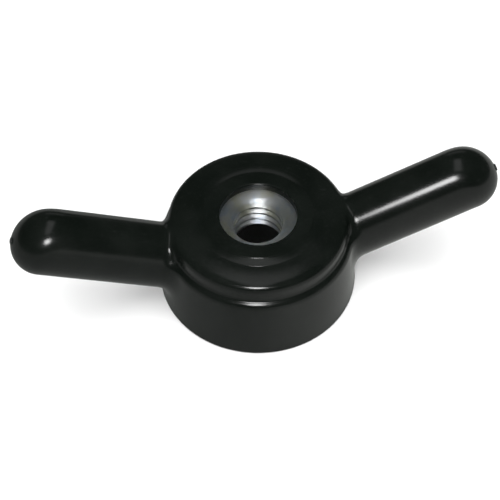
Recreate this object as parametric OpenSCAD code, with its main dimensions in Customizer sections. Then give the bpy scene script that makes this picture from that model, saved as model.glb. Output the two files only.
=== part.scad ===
// Wing nut: a moulded plastic hub with two rising wings, and a steel hexagon nut
// moulded into it. Origin: centre of the flat clamping face, on the thread's axis.
// +Z runs up the thread's axis to the open end, and the wings lie along X.

/* [Hub] */
// Diameter of the hub at its clamping face
base_d = 41.2; // [40:0.2:44]
// Height from the clamping face to the top of the collar
hub_h = 20; // [19:0.1:21]
// Diameter of the hub at the top of its drafted side wall
wall_top_d = 39.2; // [38.4:0.2:40]
// Depth of the ledge on top of the side wall below the top of the collar
ledge_drop = 4.6; // [4.2:0.1:5.4]
// Diameter of the raised plateau inside the ledge
plateau_d = 36.8; // [35.6:0.2:37.4]
// Depth of the plateau's rim below the top of the collar
plateau_drop = 0.6; // [0.6:0.1:1.2]

/* [Collar] */
// Outer diameter of the collar round the nut
collar_d = 22.5; // [21:0.1:24]
// Diameter of the opening inside the collar
opening_d = 15.8; // [15:0.1:17]

/* [Wings] */
// Reach of each wing, along itself, from the thread's axis to its tip
wing_reach = 53.6; // [46:0.2:60]
// Angle that the wings rise at
wing_rise = 23.6; // [16:0.2:26]
// Height at which the wings' centre lines meet on the thread's axis
wing_root_h = 2.8; // [2:0.1:4]
// Width of a wing across its flanks
wing_w = 12.2; // [9:0.1:14]
// Depth of a wing from its top edge to its bottom edge
wing_depth = 14.9; // [12:0.1:16]
// Rounding of the wing tip above its nose
tip_top_r = 8.4; // [7:0.1:9]
// Radius of the blend between a wing's flanks and the hub
blend_r = 3; // [1:0.1:4]

/* [Nut] */
// Nominal thread diameter
thread_d = 12; // [10, 12]
// Thread pitch
thread_pitch = 1.75; // [1.25, 1.5, 1.75]
// Width of the nut across its flats
nut_flats = 18; // [18:0.1:19]
// Height of the nut
nut_h = 8.8; // [8:0.1:10]
// Depth of the nut's upper face below the top of the collar
nut_sunk = 1.7; // [1.4:0.1:2.2]
// Diameter of the clearance bore below the nut
clearance_d = 13; // [12.6:0.1:14]

/* [Hidden] */
$fn = 96;

// Roundings of the hub: lower edge, ledge, foot of the plateau and rim of the plateau
edge_r = 0.6;
ledge_r = 2;
foot_r = 0.8;
rim_r = 1.8;
ledge_h = hub_h - ledge_drop;
plateau_h = hub_h - plateau_drop;
draft = atan((base_d - wall_top_d) / 2 / ledge_h);

// The plateau's face rises to a low pad that carries the collar
face_rise = 5;
pad_d = 26.3;
pad_step = 0.07;

lead_in = 0.5;
opening_edge = 0.3;
nut_top = hub_h - nut_sunk;
nut_base = nut_top - nut_h;

// An ISO thread's crests in a nut stand at 0.5413 of the pitch inside its nominal radius
minor_r = thread_d / 2 - 0.5413 * thread_pitch;
// The nut's upper face is dished at 15 degrees, and its lower end is countersunk at 45
dish_depth = (opening_d / 2 - minor_r) * tan(15);
countersink_depth = thread_d / 2 - minor_r;

// Tools overrun a face by this much where they cut through it
proud = 1;

tip_low_r = wing_depth - tip_top_r;
// The nose is where the two roundings of the tip meet
tip_nose = wing_depth / 2 - tip_top_r;
wing_sides = 28;
wing_start = 13;
blend_start = 16;
blend_end = 27;
blend_rings = 14;
shank_rings = 5;
tip_rings = 8;

// Stub at each nose, where the mould's gate was cut off
gate_d = 1.5;
gate_proud = 0.22;

function arc(x, z, r, from, to, steps = 6, first = 0) =
    [for (i = [first:steps]) let (a = from + (to - from) * i / steps) [x + r * cos(a), z + r * sin(a)]];

// Outline of the hub's outside, from the axis along the base and back over the top. The
// ledge's rounding runs straight into the rounding at the foot of the plateau.
function hub_outline() =
    let (ledge_x = wall_top_d / 2 - ledge_r, foot_x = plateau_d / 2 + foot_r,
        meet = acos((foot_x - ledge_x) / (ledge_r + foot_r)),
        foot_z = ledge_h - ledge_r + (ledge_r + foot_r) * sin(meet),
        rim = arc(plateau_d / 2 - rim_r, plateau_h - rim_r, rim_r, 0, 90 - face_rise, 10),
        end = rim[len(rim) - 1],
        pad_foot = end[1] + (end[0] - pad_d / 2) * tan(face_rise))
    concat(
        [[0, 0]],
        arc(base_d / 2 - edge_r, edge_r, edge_r, -90, draft),
        arc(ledge_x, ledge_h - ledge_r, ledge_r, draft, meet, 10),
        arc(foot_x, foot_z, foot_r, 180 + meet, 180, 4, 1),
        rim,
        [[pad_d / 2, pad_foot], [pad_d / 2, pad_foot + pad_step]],
        [[collar_d / 2, pad_foot + pad_step], [collar_d / 2, hub_h], [0, hub_h]]);

module hub() {
    rotate_extrude() polygon(hub_outline());
}

// Radius, at a height, of a drum whose upper edge is rounded
function drum_r(z, r, top, edge) =
    r - edge + (z < top - edge ? edge : sqrt(max(0, edge * edge - pow(z - top + edge, 2))));

// Radius of the hub's side at a height, as a wing meets it
function side_r(z) = max(
    drum_r(z, wall_top_d / 2 + (base_d - wall_top_d) / 2 * max(0, 1 - z / ledge_h), ledge_h, ledge_r),
    drum_r(z, plateau_d / 2, plateau_h, rim_r));

// Half of the wing's depth above and below its centre line, at a reach u
function crown(u, r) = let (into = u - (wing_reach - r))
    wing_depth / 2 - r + (into > 0 ? sqrt(max(0, r * r - into * into)) : r);

function half_width(u) = let (r = wing_w / 2, into = u - (wing_reach - r))
    into > 0 ? sqrt(max(0, r * r - into * into)) : r;

// Share of the blend at an angle round the wing: all of it on the flanks, a third on top
// and half below
function blend_share(a) = 1 - (sin(a) > 0 ? 2 / 3 : 1 / 2) * pow(sin(a), 2);

// Swell of the wing as it nears the hub's side: a quarter round of blend_r that shrinks
// away again inside the side
function swell(gap) = gap > blend_r ? 0
    : gap > 0 ? blend_r - sqrt(blend_r * blend_r - pow(blend_r - gap, 2))
    : max(0, blend_r + 2 * gap);

function wing_place(u, y, v) = [
    u * cos(wing_rise) - v * sin(wing_rise), y,
    wing_root_h + u * sin(wing_rise) + v * cos(wing_rise)];

function gap_to_side(p) = norm([p[0], p[1]]) - side_r(p[2]);

// Swell at a point of the wing where the swollen point's own gap asks for that much, found
// by halving the range between low and high
function settled(u, y, v, a, low, high, halvings) =
    let (s = (low + high) / 2)
    halvings == 0 ? s
    : swell(gap_to_side(wing_place(u, y + s * cos(a), v + s * sin(a)))) * blend_share(a) > s
        ? settled(u, y, v, a, s, high, halvings - 1)
        : settled(u, y, v, a, low, s, halvings - 1);

function wing_point(u, a) =
    let (top = crown(u, tip_top_r), low = -crown(u, tip_low_r),
        mid = (top + low) / 2, half = (top - low) / 2,
        y = half_width(u) * cos(a), v = mid + half * sin(a),
        s = u < blend_end ? settled(u, y, v, a, 0, blend_r, 10) : 0)
    wing_place(u, y + s * cos(a), v + s * sin(a));

function even(from, to, count) = [for (i = [0:count - 1]) from + (to - from) * i / count];

// Reaches of the wing's rings: closest through the blend and round the tip
function wing_stations() = concat(
    [wing_start],
    even(blend_start, blend_end, blend_rings),
    even(blend_end, wing_reach - tip_top_r, shank_rings),
    [for (i = [0:tip_rings - 1])
        wing_reach - tip_top_r * (1 - sin(88 * i / (tip_rings - 1)))]);

module shank() {
    stations = wing_stations();
    rings = len(stations);
    points = [for (u = stations) for (k = [0:wing_sides - 1]) wing_point(u, 360 * k / wing_sides)];
    sides = [for (i = [0:rings - 2]) for (k = [0:wing_sides - 1])
        let (a = i * wing_sides + k, b = i * wing_sides + (k + 1) % wing_sides)
        for (t = [[a, b + wing_sides, b], [a, a + wing_sides, b + wing_sides]]) t];
    last = (rings - 1) * wing_sides;
    root = rings * wing_sides;
    caps = [for (k = [0:wing_sides - 1]) let (next = (k + 1) % wing_sides)
        for (t = [[k, next, root], [last + next, last + k, root + 1]]) t];
    ends = [wing_place(wing_start, 0, 0), wing_place(wing_reach, 0, tip_nose)];
    polyhedron(concat(points, ends), concat(sides, caps));
}

module wing() {
    shank();
    translate(wing_place(wing_reach - proud, 0, tip_nose))
        rotate([0, 90 - wing_rise, 0])
        cylinder(h = proud + gate_proud, d = gate_d);
}

module hexagon_blank() {
    translate([0, 0, nut_base])
        cylinder(h = nut_h, r = nut_flats / 2 / cos(30), $fn = 6);
}

module moulded_body() {
    color("#232524")
    difference() {
        union() {
            hub();
            wing();
            mirror([1, 0, 0]) wing();
        }
        hexagon_blank();
        translate([0, 0, nut_top - proud])
            cylinder(h = nut_sunk + 2 * proud, d = opening_d);
        translate([0, 0, -proud])
            cylinder(h = nut_base + 2 * proud, d = clearance_d);
        translate([0, 0, -proud])
            cylinder(h = proud + lead_in, d1 = clearance_d + 2 * (lead_in + proud), d2 = clearance_d);
        translate([0, 0, hub_h - opening_edge])
            cylinder(h = opening_edge + proud, d1 = opening_d, d2 = opening_d + 2 * (opening_edge + proud));
    }
}

module threaded_insert() {
    color("#b9bfc6")
    difference() {
        hexagon_blank();
        translate([0, 0, nut_base - proud])
            cylinder(h = nut_h + 2 * proud, r = minor_r);
        translate([0, 0, nut_top - dish_depth])
            cylinder(h = dish_depth, r1 = minor_r, r2 = opening_d / 2);
        translate([0, 0, nut_base])
            cylinder(h = countersink_depth, r1 = thread_d / 2, r2 = minor_r);
    }
}

moulded_body();
threaded_insert();
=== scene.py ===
import math

import bmesh
import bpy
from mathutils import Matrix, Vector


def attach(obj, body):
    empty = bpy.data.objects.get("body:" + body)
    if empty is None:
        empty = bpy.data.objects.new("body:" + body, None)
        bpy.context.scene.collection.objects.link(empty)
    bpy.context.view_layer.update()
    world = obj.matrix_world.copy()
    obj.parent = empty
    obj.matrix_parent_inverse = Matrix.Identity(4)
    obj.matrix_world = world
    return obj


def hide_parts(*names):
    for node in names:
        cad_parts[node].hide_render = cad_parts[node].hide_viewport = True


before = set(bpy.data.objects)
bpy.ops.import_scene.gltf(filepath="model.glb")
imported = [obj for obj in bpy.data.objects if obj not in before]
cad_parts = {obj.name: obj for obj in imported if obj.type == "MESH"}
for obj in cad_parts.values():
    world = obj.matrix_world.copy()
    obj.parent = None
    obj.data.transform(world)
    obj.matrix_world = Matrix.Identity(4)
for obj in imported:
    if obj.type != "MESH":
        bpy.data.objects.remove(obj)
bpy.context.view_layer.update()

# ---------------------------------------------------------------------------------------------
# The moulded body. Hub, collar and both wings are one shot of black glass-filled nylon, moulded
# round the steel nut. It is turned up here as a hub, two lofted wings are joined to it, the
# corners between them are filled, and the nut's hexagonal seat is cut out of the middle.

MM = 0.001
BASE_R = 20.6 * MM
BASE_EDGE = 0.6 * MM
WALL_TOP_R = 19.6 * MM
LEDGE_H = 15.4 * MM
LEDGE_EDGE = 2.0 * MM
LEDGE_FOOT = 0.8 * MM
PLATEAU_R = 18.4 * MM
PLATEAU_H = 19.4 * MM
PLATEAU_EDGE = 1.8 * MM
PLATEAU_CROWN = 34.5 * MM
PAD_R = 13.15 * MM
PAD_H = 19.78 * MM
COLLAR_R = 11.25 * MM
HUB_H = 20.0 * MM
OPENING_R = 7.9 * MM
OPENING_EDGE = 0.3 * MM
CLEARANCE_R = 6.5 * MM
# The seat that the nut sits in
NUT_TOP = 18.3 * MM
NUT_BASE = 9.5 * MM
NUT_FLATS = 18.0 * MM

HUB_SEGMENTS = 288


def arc(x, z, r, start, end, steps=7):
    """Points round part of a circle in the XZ plane, with angles in degrees."""
    angles = [math.radians(start + (end - start) * i / steps) for i in range(steps + 1)]
    return [(x + r * math.cos(a), z + r * math.sin(a)) for a in angles]


def hub_section():
    """The hub's outline as a closed loop, from the stud's hole outwards and back over the top.

    The ledge's rounding runs straight into the rounding at the plateau's foot, and the
    plateau's face is a shallow crown that is steeper at the rim than at the pad.
    """
    lead, crisp, draft, wall_rows = 0.5 * MM, 0.13 * MM, 4, 24
    slope_out, slope_in = 8, 2
    inside_nut = (NUT_BASE + NUT_TOP) / 2
    wall_r, wall_z = WALL_TOP_R - LEDGE_EDGE, LEDGE_H - LEDGE_EDGE
    foot_r = PLATEAU_R + LEDGE_FOOT
    meet = math.acos((foot_r - wall_r) / (LEDGE_EDGE + LEDGE_FOOT))
    foot_z = wall_z + (LEDGE_EDGE + LEDGE_FOOT) * math.sin(meet)
    meet = math.degrees(meet)
    rim = arc(PLATEAU_R - PLATEAU_EDGE, PLATEAU_H - PLATEAU_EDGE, PLATEAU_EDGE, 0, 90 - slope_out, 14)
    crown_x = rim[-1][0] - PLATEAU_CROWN * math.sin(math.radians(slope_out))
    crown_z = rim[-1][1] - PLATEAU_CROWN * math.cos(math.radians(slope_out))

    section = [(CLEARANCE_R, inside_nut), (CLEARANCE_R, lead), (CLEARANCE_R + lead, 0)]
    section += arc(BASE_R - BASE_EDGE, BASE_EDGE, BASE_EDGE, -90, draft)
    ledge = arc(wall_r, wall_z, LEDGE_EDGE, draft, meet, 14)
    low, high = Vector(section[-1]), Vector(ledge[0])
    section += [tuple(low.lerp(high, i / wall_rows)) for i in range(1, wall_rows)]
    section += ledge
    section += arc(foot_r, foot_z, LEDGE_FOOT, 180 + meet, 180, 6)[1:]
    section += rim
    section += arc(crown_x, crown_z, PLATEAU_CROWN, 90 - slope_out, 90 - slope_in, 8)[1:]
    section += arc(PAD_R - crisp, PAD_H - crisp, crisp, 25, 88, 3)
    section += [(COLLAR_R + crisp, PAD_H + 0.02 * MM)]
    section += arc(COLLAR_R - crisp, HUB_H - crisp, crisp, 8, 90, 4)
    section += arc(OPENING_R + OPENING_EDGE, HUB_H - OPENING_EDGE, OPENING_EDGE, 90, 180, 10)
    section += [(OPENING_R, inside_nut)]
    return section


def new_object(name, bm):
    """Puts a finished mesh into the scene, with its origin at the part's."""
    mesh = bpy.data.meshes.new(name)
    bm.to_mesh(mesh)
    bm.free()
    made = bpy.data.objects.new(name, mesh)
    bpy.context.scene.collection.objects.link(made)
    return made


def turned(name, section, segments):
    """A solid of revolution about Z from a closed section of radius and height pairs."""
    bm = bmesh.new()
    points = [bm.verts.new((x, 0, z)) for x, z in section]
    edges = [bm.edges.new((a, b)) for a, b in zip(points, points[1:] + points[:1])]
    bmesh.ops.spin(bm, geom=points + edges, cent=(0, 0, 0), axis=(0, 0, 1), angle=2 * math.pi,
                   steps=segments, use_merge=True)
    bmesh.ops.remove_doubles(bm, verts=bm.verts, dist=0.001 * MM)
    bmesh.ops.recalc_face_normals(bm, faces=bm.faces)
    return new_object(name, bm)


WING_REACH = 53.5 * MM
WING_RISE = math.radians(23.6)
WING_ROOT_H = 2.8 * MM
WING_HALF_W = 6.1 * MM
WING_HALF_DEPTH = 7.45 * MM
TIP_TOP_R = 8.4 * MM
TIP_LOW_R = 2 * WING_HALF_DEPTH - TIP_TOP_R
WING_START = 13 * MM
ROOT_END = 30 * MM

WING_SIDES = 96
ROOT_ROWS = 40
SHANK_ROWS = 8
TIP_ROWS = 22


def round_end(u, radius):
    """How much of a rounding of this radius is left at reach u: 1 on the shank, 0 at the nose."""
    into = max(0, u - (WING_REACH - radius)) / radius
    return math.sqrt(max(0, 1 - into * into))


def wing_place(u, y, v):
    """The point at reach u along the wing, y across it and v square to it."""
    return Vector((u * math.cos(WING_RISE) - v * math.sin(WING_RISE), y,
                   WING_ROOT_H + u * math.sin(WING_RISE) + v * math.cos(WING_RISE)))


def wing():
    """One wing along +X, as rows of points from inside the hub to the nose."""
    rows = ROOT_ROWS + SHANK_ROWS + TIP_ROWS
    bm = bmesh.new()
    bmesh.ops.create_grid(bm, x_segments=WING_SIDES, y_segments=rows, size=1)
    tip_start = WING_REACH - TIP_TOP_R
    for vert in bm.verts:
        side = math.pi * (vert.co.x + 1)
        row = round((vert.co.y + 1) / 2 * rows)
        if row < ROOT_ROWS:
            u = WING_START + (ROOT_END - WING_START) * row / ROOT_ROWS
        elif row < ROOT_ROWS + SHANK_ROWS:
            u = ROOT_END + (tip_start - ROOT_END) * (row - ROOT_ROWS) / SHANK_ROWS
        else:
            turn = math.pi / 2 * (row - ROOT_ROWS - SHANK_ROWS) / TIP_ROWS
            u = tip_start + TIP_TOP_R * math.sin(turn)
        high = WING_HALF_DEPTH - TIP_TOP_R * (1 - round_end(u, TIP_TOP_R))
        low = -WING_HALF_DEPTH + TIP_LOW_R * (1 - round_end(u, TIP_LOW_R))
        vert.co = wing_place(u, WING_HALF_W * round_end(u, WING_HALF_W) * math.cos(side),
                             (high + low) / 2 + (high - low) / 2 * math.sin(side))
    bmesh.ops.remove_doubles(bm, verts=bm.verts, dist=0.002 * MM)
    open_edges = [e for e in bm.edges if e.is_boundary]
    bmesh.ops.holes_fill(bm, edges=open_edges, sides=0)
    bmesh.ops.recalc_face_normals(bm, faces=bm.faces)
    return bm


GATE_R = 0.75 * MM
GATE_PROUD = 0.22 * MM


def gate_mark():
    """The low round stub at the nose of a wing, where the mould's gate was cut off."""
    depth = 2 * MM
    nose = wing_place(WING_REACH + GATE_PROUD - depth / 2, 0, TIP_LOW_R - WING_HALF_DEPTH)
    bm = bmesh.new()
    bmesh.ops.create_cone(bm, cap_ends=True, segments=48, radius1=GATE_R, radius2=GATE_R, depth=depth,
                          matrix=Matrix.Translation(nose)
                          @ Matrix.Rotation(math.pi / 2 - WING_RISE, 4, "Y"))
    rims = [e for e in bm.edges if len(e.link_faces[0].verts) != len(e.link_faces[1].verts)]
    bmesh.ops.bevel(bm, geom=rims, offset=0.12 * MM, affect="EDGES", segments=3, profile=0.5,
                    material=-1)
    return bm


def join_solid(body, tool, operation):
    """Adds a solid to the body, or cuts it away, and drops the tool."""
    step = body.modifiers.new(operation, "BOOLEAN")
    step.operation, step.solver, step.object = operation, "MANIFOLD", tool
    graph = bpy.context.evaluated_depsgraph_get()
    mesh = bpy.data.meshes.new_from_object(body.evaluated_get(graph))
    body.modifiers.clear()
    body.data = mesh
    bpy.data.objects.remove(tool)


body = turned("wing_nut_body", hub_section(), HUB_SEGMENTS)
for make in (wing, gate_mark):
    for mirrored in (False, True):
        bm = make()
        if mirrored:
            bmesh.ops.scale(bm, vec=(-1, 1, 1), verts=bm.verts)
            bmesh.ops.reverse_faces(bm, faces=bm.faces)
        join_solid(body, new_object("added", bm), "UNION")

FLANK_FILLET = 3.0 * MM
TOP_FILLET = 1.0 * MM
LOW_FILLET = 1.5 * MM
# The corners to fill lie between these distances from the middle plane
CORNER_FROM = 15 * MM
CORNER_TO = 32 * MM
SWEEPS = 4


def rounded_step(r, z, top_r, top_z, edge):
    """Distance from a drum whose upper edge is rounded."""
    across, over = r - (top_r - edge), z - (top_z - edge)
    return math.hypot(max(across, 0), max(over, 0)) + min(max(across, over), 0) - edge


def hub_distance(point):
    """Distance from the hub, taken as the drafted wall and the plateau on top of it."""
    r = math.hypot(point.x, point.y)
    wall_h = LEDGE_H - LEDGE_EDGE
    flare = (BASE_R - WALL_TOP_R) * max(0, wall_h - point.z) / wall_h
    return min(rounded_step(r - flare, point.z, WALL_TOP_R, LEDGE_H, LEDGE_EDGE),
               rounded_step(r, point.z, PLATEAU_R, PLATEAU_H, PLATEAU_EDGE))


def wing_distance(point):
    """Distance from the shank of the nearer wing, and the width of the fillet on that side."""
    v = -abs(point.x) * math.sin(WING_RISE) + (point.z - WING_ROOT_H) * math.cos(WING_RISE)
    over = math.hypot(point.y / WING_HALF_W, v / WING_HALF_DEPTH)
    steep = (v / WING_HALF_DEPTH / over) ** 2
    end = TOP_FILLET if v > 0 else LOW_FILLET
    return math.hypot(point.y, v) * (1 - 1 / over), FLANK_FILLET * (1 - steep) + end * steep


def filled(point):
    """Distance from hub and wing together, with the corner between them filled."""
    hub, (shank, fillet) = hub_distance(point), wing_distance(point)
    near = max(0, fillet - abs(hub - shank)) / fillet
    return min(hub, shank) - near * near * fillet / 4


def settle(point, level):
    """Moves a point straight out until it lies at this distance from the filled shape."""
    reach = 0.02 * MM
    for _ in range(4):
        slope = Vector([filled(point + step) - filled(point - step)
                        for step in (Vector((reach, 0, 0)), Vector((0, reach, 0)),
                                     Vector((0, 0, reach)))]) / (2 * reach)
        point = point + slope * ((level - filled(point)) / max(slope.length_squared, 0.05))
    return point


bm = bmesh.new()
bm.from_mesh(body.data)
outer = [v for v in bm.verts if abs(v.co.x) > CORNER_FROM]
bmesh.ops.remove_doubles(bm, verts=outer, dist=0.06 * MM)
levels = {}
for vert in bm.verts:
    if CORNER_FROM < abs(vert.co.x) < CORNER_TO and vert.co.z > BASE_EDGE:
        hub, (shank, fillet) = hub_distance(vert.co), wing_distance(vert.co)
        if max(hub, shank) < fillet:
            levels[vert] = min(hub, shank)
for sweep in range(SWEEPS):
    for vert, level in levels.items():
        vert.co = settle(vert.co, level)
    if sweep < SWEEPS - 1:
        bmesh.ops.smooth_vert(bm, verts=list(levels), factor=0.5, use_axis_x=True, use_axis_y=True,
                              use_axis_z=True)
bm.to_mesh(body.data)
bm.free()


def hexagon(flats, low, high):
    """A hexagonal prism between two heights."""
    corner_r = flats / 2 / math.cos(math.pi / 6)
    bm = bmesh.new()
    bmesh.ops.create_cone(bm, cap_ends=True, segments=6, radius1=corner_r, radius2=corner_r,
                          depth=high - low,
                          matrix=Matrix.Translation((0, 0, (low + high) / 2)))
    return bm


join_solid(body, new_object("seat", hexagon(NUT_FLATS, NUT_BASE, NUT_TOP)), "DIFFERENCE")


def finish_mesh(piece, crease):
    """Smooth shading, with creases kept sharp and flat faces kept flat."""
    mesh = piece.data
    bm = bmesh.new()
    bm.from_mesh(mesh)
    bmesh.ops.remove_doubles(bm, verts=bm.verts, dist=0.012 * MM)
    bmesh.ops.dissolve_degenerate(bm, edges=bm.edges, dist=0.002 * MM)
    bm.to_mesh(mesh)
    bm.free()
    for face in mesh.polygons:
        face.use_smooth = True
    mesh.set_sharp_from_angle(angle=math.radians(crease))
    flatten = piece.modifiers.new("even normals", "WEIGHTED_NORMAL")
    flatten.keep_sharp = True
    flatten.weight = 50


finish_mesh(body, 40)


class Wire:
    """A shader socket that takes part in sums. Each sum adds its Math node to the material."""

    def __init__(self, paint, socket):
        self.paint, self.socket = paint, socket

    def maths(self, operation, *values):
        return self.paint.node("ShaderNodeMath", {"operation": operation},
                               dict(enumerate(values)))[0]

    def __add__(self, other):
        return self.maths("ADD", self, other)

    def __rsub__(self, other):
        return self.maths("SUBTRACT", other, self)

    def __mul__(self, other):
        return self.maths("MULTIPLY", self, other)

    def __pow__(self, other):
        return self.maths("POWER", self, other)

    def sine(self):
        return self.maths("SINE", self)

    __radd__, __rmul__ = __add__, __mul__


class Made:
    """A node whose outputs are read as wires, by name or by number."""

    def __init__(self, paint, node):
        self.paint, self.node = paint, node

    def __getitem__(self, key):
        return Wire(self.paint, self.node.outputs[key])


class Paint:
    """A material under construction."""

    def __init__(self, name):
        self.material = bpy.data.materials.new(name)
        self.material.use_nodes = True
        self.tree = self.material.node_tree
        self.tree.nodes.clear()
        self.place = self.node("ShaderNodeTexCoord")["Object"]

    def node(self, kind, settings=None, sockets=None):
        """Adds a node: its settings first, then the values or wires of its sockets."""
        node = self.tree.nodes.new(kind)
        for key, value in (settings or {}).items():
            setattr(node, key, value)
        for key, value in (sockets or {}).items():
            if isinstance(value, Wire):
                self.tree.links.new(value.socket, node.inputs[key])
            else:
                node.inputs[key].default_value = value
        return Made(self, node)

    def axes(self):
        """The X, Y and Z of the point being shaded, from the part's origin."""
        split = self.node("ShaderNodeSeparateXYZ", None, {"Vector": self.place})
        return [split[axis] for axis in range(3)]

    def noise(self, per_mm, detail=4, rough=0.5):
        """Noise from 0 to 1 with so many blotches to the millimetre."""
        return self.node("ShaderNodeTexNoise", {"noise_dimensions": "3D"},
                         {"Vector": self.place, "Scale": per_mm / MM, "Detail": detail,
                          "Roughness": rough})["Fac"]

    def band(self, value, low, high):
        """0 below low and 1 above high, with a smooth step between."""
        return self.node("ShaderNodeMapRange", {"interpolation_type": "SMOOTHSTEP"},
                         {"Value": value, "From Min": low, "From Max": high})["Result"]

    def blend(self, factor, first, second):
        return self.node("ShaderNodeMix", {"data_type": "RGBA"},
                         {"Factor": factor, "A": first, "B": second})["Result"]

    def bump(self, height, depth):
        """A Bump node: height from 0 to 1 stands for so much depth in metres."""
        return self.node("ShaderNodeBump", None,
                         {"Height": height, "Strength": 1.0, "Distance": depth})["Normal"]

    def surface(self, **sockets):
        """The finished material: one Principled shader with these sockets."""
        named = {key.replace("_", " "): value for key, value in sockets.items()}
        shader = self.node("ShaderNodeBsdfPrincipled", None, named)["BSDF"]
        self.node("ShaderNodeOutputMaterial", None, {"Surface": shader})
        return self.material


def black_plastic():
    """Black nylon with the fine grain of a sparked mould and faint, slow changes of gloss."""
    paint = Paint("black_plastic")
    cloud = paint.noise(0.12, 5)
    grain = paint.noise(5.5, 3, 0.6)
    speck = paint.band(paint.noise(1.6, 2), 0.62, 0.75)
    colour = paint.blend(paint.band(cloud, 0.35, 0.7), (0.0022, 0.0032, 0.0025, 1),
                         (0.0042, 0.0054, 0.0045, 1))
    colour = paint.blend(speck * 0.5, colour, (0.009, 0.0105, 0.0095, 1))
    rough = 0.17 + paint.band(cloud, 0.3, 0.75) * 0.03 + speck * 0.04 + grain * 0.03
    height = grain * 0.7 + paint.noise(0.9, 3) * 0.3
    return paint.surface(Base_Color=colour, Roughness=rough, IOR=1.45,
                         Normal=paint.bump(height, 0.006 * MM))


body.data.materials.clear()
body.data.materials.append(black_plastic())
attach(body, "root")
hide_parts("moulded_body")

# ---------------------------------------------------------------------------------------------
# The steel nut. A hexagon blank is drilled, countersunk at both ends and tapped M12 x 1.75, then
# bright zinc plated. The tap is a rod with the thread's own outline, screwed up through the blank.

THREAD_R = 6.0 * MM
PITCH = 1.75 * MM
CREST_R = THREAD_R - 0.5413 * PITCH
CORNER_R = 0.03 * MM
THREAD_STEPS = 96


def tap():
    """A threaded rod a little longer than the nut. Its shape is a radius at each part of a turn."""
    turns, point = 8, 1.2
    low = NUT_BASE - 1.75 * PITCH
    shape = [(CREST_R, 0), (CREST_R, 0.22), (CREST_R + CORNER_R, 0.25),
             (THREAD_R - CORNER_R, 0.545), (THREAD_R, 0.57), (THREAD_R, 0.68),
             (THREAD_R - CORNER_R, 0.705), (CREST_R + CORNER_R, 0.975)]
    bm = bmesh.new()
    points = [bm.verts.new((r, 0, low + (turn + part) * PITCH))
              for turn in range(turns) for r, part in shape]
    edges = [bm.edges.new(pair) for pair in zip(points, points[1:])]
    bmesh.ops.spin(bm, geom=points + edges, cent=(0, 0, 0), axis=(0, 0, 1), angle=2 * math.pi,
                   dvec=(0, 0, PITCH / THREAD_STEPS), steps=THREAD_STEPS, use_merge=False)
    bmesh.ops.remove_doubles(bm, verts=bm.verts, dist=0.002 * MM)
    rim = [e for e in bm.edges if e.is_boundary]
    middle = low + turns * PITCH / 2
    for upper in (False, True):
        ring = [e for e in rim if (e.verts[0].co.z > middle) == upper]
        made = bmesh.ops.extrude_edge_only(bm, edges=ring)["geom"]
        verts = [g for g in made if isinstance(g, bmesh.types.BMVert)]
        end = middle + (1 if upper else -1) * (turns / 2 + point) * PITCH
        bmesh.ops.pointmerge(bm, verts=verts, merge_co=(0, 0, end))
    bmesh.ops.recalc_face_normals(bm, faces=bm.faces)
    return bm


def cone(name, z_from, r_from, z_to, r_to):
    """A cutter that goes from one radius to another between two heights."""
    bm = bmesh.new()
    bmesh.ops.create_cone(bm, cap_ends=True, segments=192, radius1=r_from, radius2=r_to,
                          depth=z_to - z_from,
                          matrix=Matrix.Translation((0, 0, (z_from + z_to) / 2)))
    return new_object(name, bm)


DISH = math.tan(math.radians(15))
CUTTER_R = 4 * MM
over = 0.5 * MM
blank = hexagon(NUT_FLATS, NUT_BASE, NUT_TOP)
bmesh.ops.bevel(blank, geom=blank.edges[:], offset=0.25 * MM, affect="EDGES", segments=2,
                profile=0.5, material=-1)
nut = new_object("steel_nut", blank)
join_solid(nut, new_object("tap", tap()), "DIFFERENCE")
join_solid(nut, cone("dish", NUT_TOP - (OPENING_R - CUTTER_R) * DISH, CUTTER_R,
                     NUT_TOP + over, OPENING_R + over / DISH), "DIFFERENCE")
mouth_z = NUT_TOP - (OPENING_R - THREAD_R) * DISH
join_solid(nut, cone("mouth", mouth_z - 1.2 * MM, THREAD_R - 1.5 * MM, mouth_z + 0.4 * MM,
                     THREAD_R + 0.5 * MM), "DIFFERENCE")
join_solid(nut, cone("back_countersink", NUT_BASE - over, THREAD_R + over + 0.1 * MM,
                     NUT_BASE + 2.1 * MM, CUTTER_R), "DIFFERENCE")
finish_mesh(nut, 28)


def zinc_plate():
    """Bright zinc over turned steel: fine tool rings, with a faint blue and straw bloom."""
    paint = Paint("zinc_plated_steel")
    x, y, z = paint.axes()
    feed, wander = 0.16 * MM, 0.1 * MM
    travel = (x * x + y * y) ** 0.5 + z * 0.6 + paint.noise(0.2, 2) * wander
    rings = (travel * (2 * math.pi / feed)).sine()
    bloom = paint.noise(0.22, 3)
    straw = paint.band(bloom, 0.5, 0.68)
    blue = paint.band(1 - bloom, 0.5, 0.66)
    colour = paint.blend(straw * 0.6, (0.78, 0.80, 0.81, 1), (0.78, 0.78, 0.60, 1))
    colour = paint.blend(blue * 0.6, colour, (0.60, 0.69, 0.82, 1))
    rough = 0.30 + paint.noise(0.8, 4) * 0.15
    height = rings * 0.5 + paint.noise(2.2, 4, 0.6) * 0.5
    return paint.surface(Base_Color=colour, Metallic=1.0, Roughness=rough,
                         Normal=paint.bump(height, 0.016 * MM))


nut.data.materials.clear()
nut.data.materials.append(zinc_plate())
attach(nut, "root")
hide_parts("threaded_insert")

# ---------------------------------------------------------------------------------------------
# The studio: a pale table, a lamp under the lens, and soft boxes that light the table. Glossy
# surfaces see a glowing card in place of the white table, so that the black plastic stays black:
# its glow is a painted reflection, darker to the left and lighter to the right, with a painted
# shadow under the part.


def sheet(name):
    """A flat square sheet on the floor."""
    bm = bmesh.new()
    bmesh.ops.create_grid(bm, x_segments=8, y_segments=8, size=2.0)
    return new_object(name, bm)


table = sheet("table")
paint = Paint("pale_table")
table.data.materials.append(paint.surface(Base_Color=(0.86, 0.86, 0.86, 1), Roughness=0.6,
                                          Specular_IOR_Level=0.2))

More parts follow.
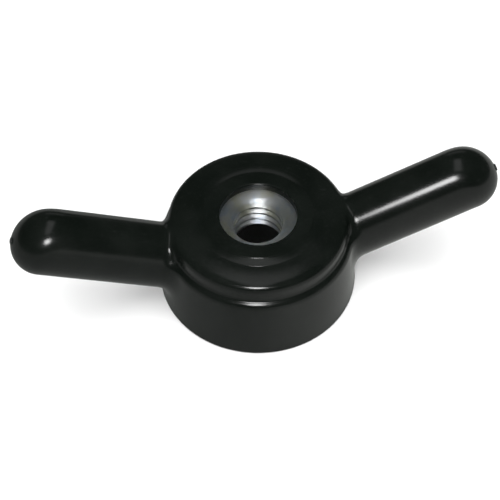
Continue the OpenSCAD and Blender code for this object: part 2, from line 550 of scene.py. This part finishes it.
glowing_reflection_card = sheet("glowing_reflection_card")
paint = Paint("glowing_reflection_card")
x, y, _ = paint.axes()
# The card glows though it is no lamp: a painted reflection of the table, darker to the left and
# lighter to the right.
painted_reflection_tone = paint.blend(paint.band(x, -20 * MM, 20 * MM), (0.29, 0.30, 0.29, 1), (0.52, 0.53, 0.51, 1))
# Painted shadow: the card's glow drops to nearly black under the part and in its hole, in place of
# the shade there.
outside_painted_shadow = paint.band((x * x + y * y) ** 0.5, 19 * MM, 22 * MM)
glowing_reflection_card.data.materials.append(paint.surface(
    Base_Color=(0, 0, 0, 1), Roughness=1.0, Specular_IOR_Level=0.0, Emission_Strength=1.0,
    Emission_Color=paint.blend(outside_painted_shadow, (0.05, 0.05, 0.05, 1), painted_reflection_tone)))
glowing_reflection_card.visible_camera = glowing_reflection_card.visible_diffuse = glowing_reflection_card.visible_shadow = False
table.visible_glossy = table.visible_shadow = False

VIEW_RISE = math.radians(52.04)
VIEW_TURN = math.radians(-11.21)
VIEW_DISTANCE = 302 * MM
aim = Vector((0, 0, 8.83 * MM))
back = Vector((math.sin(VIEW_TURN) * math.cos(VIEW_RISE), -math.cos(VIEW_TURN) * math.cos(VIEW_RISE),
               math.sin(VIEW_RISE)))
turn = (-back).to_track_quat("-Z", "Y")
right, up = turn @ Vector((1, 0, 0)), turn @ Vector((0, 1, 0))

lens = bpy.data.cameras.new("camera")
lens.lens, lens.sensor_width = 104.5, 36
lens.clip_start, lens.clip_end = 0.02, 10
camera = bpy.data.objects.new("camera", lens)
camera.rotation_mode = "QUATERNION"
camera.rotation_quaternion = turn
camera.location = aim + back * VIEW_DISTANCE - right * 1.66 * MM - up * 0.42 * MM
bpy.context.scene.collection.objects.link(camera)
bpy.context.scene.camera = camera


def soft_box(name, place, target, wide, deep, power, in_gloss, outline="RECTANGLE"):
    """A lamp this wide and deep at a place, turned to its target."""
    lamp = bpy.data.lights.new(name, "AREA")
    lamp.shape, lamp.size, lamp.size_y, lamp.energy = outline, wide, deep, power
    made = bpy.data.objects.new(name, lamp)
    made.location = place
    made.rotation_euler = (Vector(target) - Vector(place)).to_track_quat("-Z", "Y").to_euler()
    made.visible_glossy = in_gloss
    bpy.context.scene.collection.objects.link(made)
    return made


middle = Vector((0, 0, 0))
far = Vector((-back.x, -back.y, 0)).normalized()
soft_box("lens_lamp", camera.location - right * 8 * MM - up * 70 * MM, aim, 0.085, 0.085, 0.5, True,
         "ELLIPSE")
ceiling_strip = soft_box("ceiling_strip", (0, 0, 1.0), middle, 0.3, 1.0, 0.8, True)
ceiling_strip.rotation_euler.z += VIEW_TURN
soft_box("far_wall", far * 0.9 + Vector((0, 0, 0.36)), middle, 0.5, 0.2, 0.08, True)
# These only light the table, and don't show in reflections
soft_box("overhead", (0, 0, 1.2), middle, 1.6, 1.6, 26, False)
soft_box("left_box", (-1.0, -0.6, 0.8), middle, 0.9, 0.9, 5, False)
soft_box("right_box", (1.0, -0.6, 0.8), middle, 0.9, 0.9, 5, False)

world = bpy.data.worlds.new("room")
world.use_nodes = True
world.node_tree.nodes["Background"].inputs["Color"].default_value = (0.035, 0.04, 0.036, 1)
bpy.context.scene.world = world
bpy.context.scene.view_settings.view_transform = "Standard"
